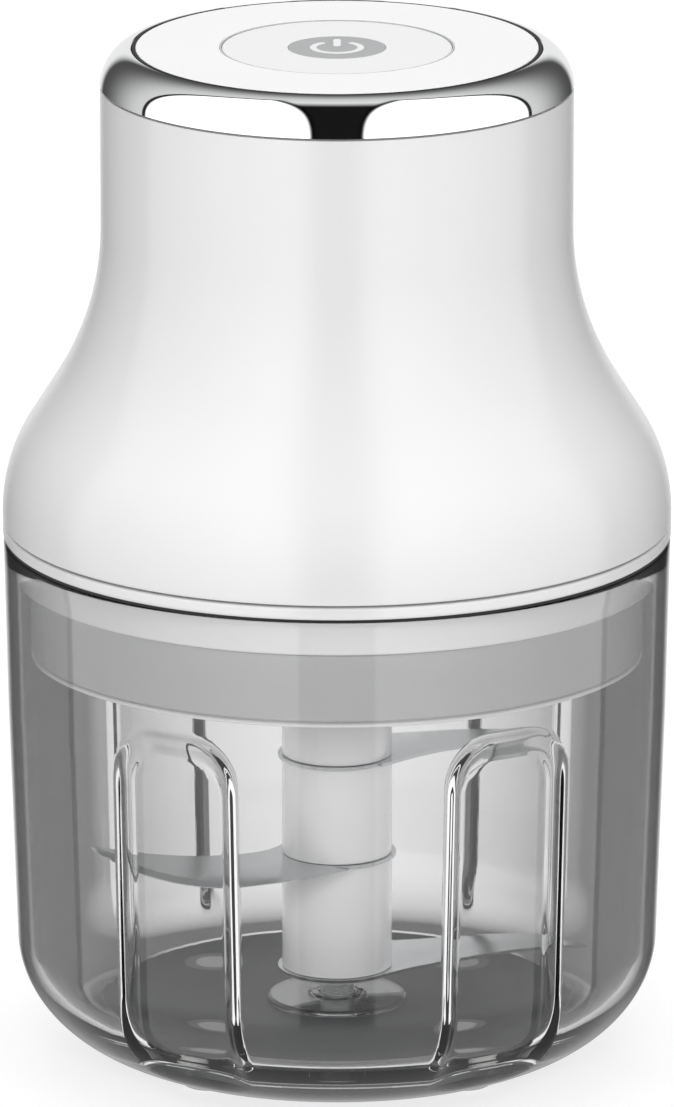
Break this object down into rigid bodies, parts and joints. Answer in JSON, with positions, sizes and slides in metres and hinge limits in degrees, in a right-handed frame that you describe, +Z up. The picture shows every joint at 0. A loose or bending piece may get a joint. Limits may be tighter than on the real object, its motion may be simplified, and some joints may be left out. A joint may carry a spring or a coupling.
{
  "type": "food processor",
  "caption": "Cordless mini chopper: clear fluted bowl with a three-blade hub, splash lid and a bell-shaped motor head with a push button.",
  "frame": {"origin": "centre of the bowl on the plane that the four feet stand on", "axes": "+Z up along the blade and motor axis; the front faces -Y and the charging port faces +Y"},
  "size_m": [0.082, 0.082, 0.1273],
  "materials": {
    "clear_plastic": "clear moulded plastic, polished",
    "white_gloss": "white moulded plastic, gloss",
    "white_plastic": "white moulded plastic, satin",
    "smoke_plastic": "smoke-grey plastic, gloss",
    "grey_plastic": "light grey plastic, satin gloss",
    "black_plastic": "black plastic, matte",
    "black_rubber": "black rubber, matte",
    "soft_white": "white silicone, matte",
    "steel": "stainless steel, polished",
    "chrome": "chrome plate, mirror",
    "brass": "turned brass",
    "copper": "copper windings and bars on a steel stack",
    "magnet": "ferrite, matte dark grey",
    "board_green": "green solder mask",
    "cell_wrap": "blue shrink wrap over a steel cell"
  },
  "bodies": {
    "bowl": {"bowl": "clear_plastic", "foot_1": "soft_white", "foot_2": "soft_white", "foot_3": "soft_white", "foot_4": "soft_white", "floor_disc": "smoke_plastic", "pin_flange": "clear_plastic", "pivot_pin": "steel"},
    "bush": {"pivot_bush": "brass"},
    "blade_set": {"hub_core": "white_plastic", "hub_sleeve_1": "white_plastic", "hub_sleeve_2": "white_plastic", "hub_sleeve_3": "white_plastic", "hub_sleeve_4": "white_plastic", "blade_lower": "steel", "blade_middle": "steel", "blade_upper": "steel"},
    "lid": {"splash_lid": "grey_plastic", "lid_seal": "soft_white"},
    "head": {"outer_shell": "white_gloss", "base_cover": "white_gloss", "case_screw_1": "steel", "case_screw_2": "steel", "case_screw_3": "steel", "case_screw_4": "steel", "chrome_ring": "chrome", "top_cover": "white_gloss", "motor_can": "steel", "motor_end_cap": "white_plastic", "magnet_left": "magnet", "magnet_right": "magnet", "motor_mount": "steel", "mount_screw_1": "steel", "mount_screw_2": "steel", "mount_screw_3": "steel", "motor_screw_1": "steel", "motor_screw_2": "steel", "shaft_seal": "black_rubber", "cell_left": "cell_wrap", "cell_right": "cell_wrap", "inner_frame": "black_plastic", "control_board": "board_green", "tact_switch": "black_plastic", "status_led": "white_plastic", "charge_board": "board_green", "charge_socket": "steel", "microswitch": "black_plastic"},
    "rotor": {"motor_shaft": "steel", "armature": "copper", "commutator": "copper", "drive_coupler": "black_plastic"},
    "button": {"push_button": "white_gloss", "icon_light_guide": "white_plastic", "icon_disc": "grey_plastic"},
    "port_cover": {"port_cover": "soft_white"},
    "interlock": {"interlock_plunger": "white_plastic"}
  },
  "joints": [
    {"name": "head_lift", "type": "slide", "parent": "bowl", "child": "head", "axis": [0, 0, 1], "range_m": [0, 0.11]},
    {"name": "lid_lift", "type": "slide", "parent": "bowl", "child": "lid", "axis": [0, 0, 1], "range_m": [0, 0.086]},
    {"name": "blade_lift", "type": "slide", "parent": "bowl", "child": "bush", "axis": [0, 0, 1], "range_m": [0, 0.07]},
    {"name": "blade_spin", "type": "hinge", "parent": "bush", "child": "blade_set", "pos_m": [0, 0, 0.012], "axis": [0, 0, 1], "continuous": true},
    {"name": "rotor_spin", "type": "hinge", "parent": "head", "child": "rotor", "pos_m": [0, 0, 0.08], "axis": [0, 0, 1], "continuous": true},
    {"name": "button_press", "type": "slide", "parent": "head", "child": "button", "axis": [0, 0, -1], "range_m": [0, 0.0008], "stiffness_N_per_m": 900, "springref_m": -0.0006},
    {"name": "port_cover_hinge", "type": "hinge", "parent": "head", "child": "port_cover", "pos_m": [0, 0.0283, 0.1061], "axis": [-1, 0, 0], "range_deg": [0, 90]},
    {"name": "interlock_press", "type": "slide", "parent": "head", "child": "interlock", "axis": [0, 0, 1], "range_m": [0, 0.0015], "stiffness_N_per_m": 60, "springref_m": -0.001}
  ],
  "couplings": [
    {"joint": "lid_lift", "follows": "head_lift", "ratio": 0.78},
    {"joint": "blade_lift", "follows": "head_lift", "ratio": 0.63},
    {"joint": "rotor_spin", "follows": "blade_spin", "ratio": 1}
  ]
}
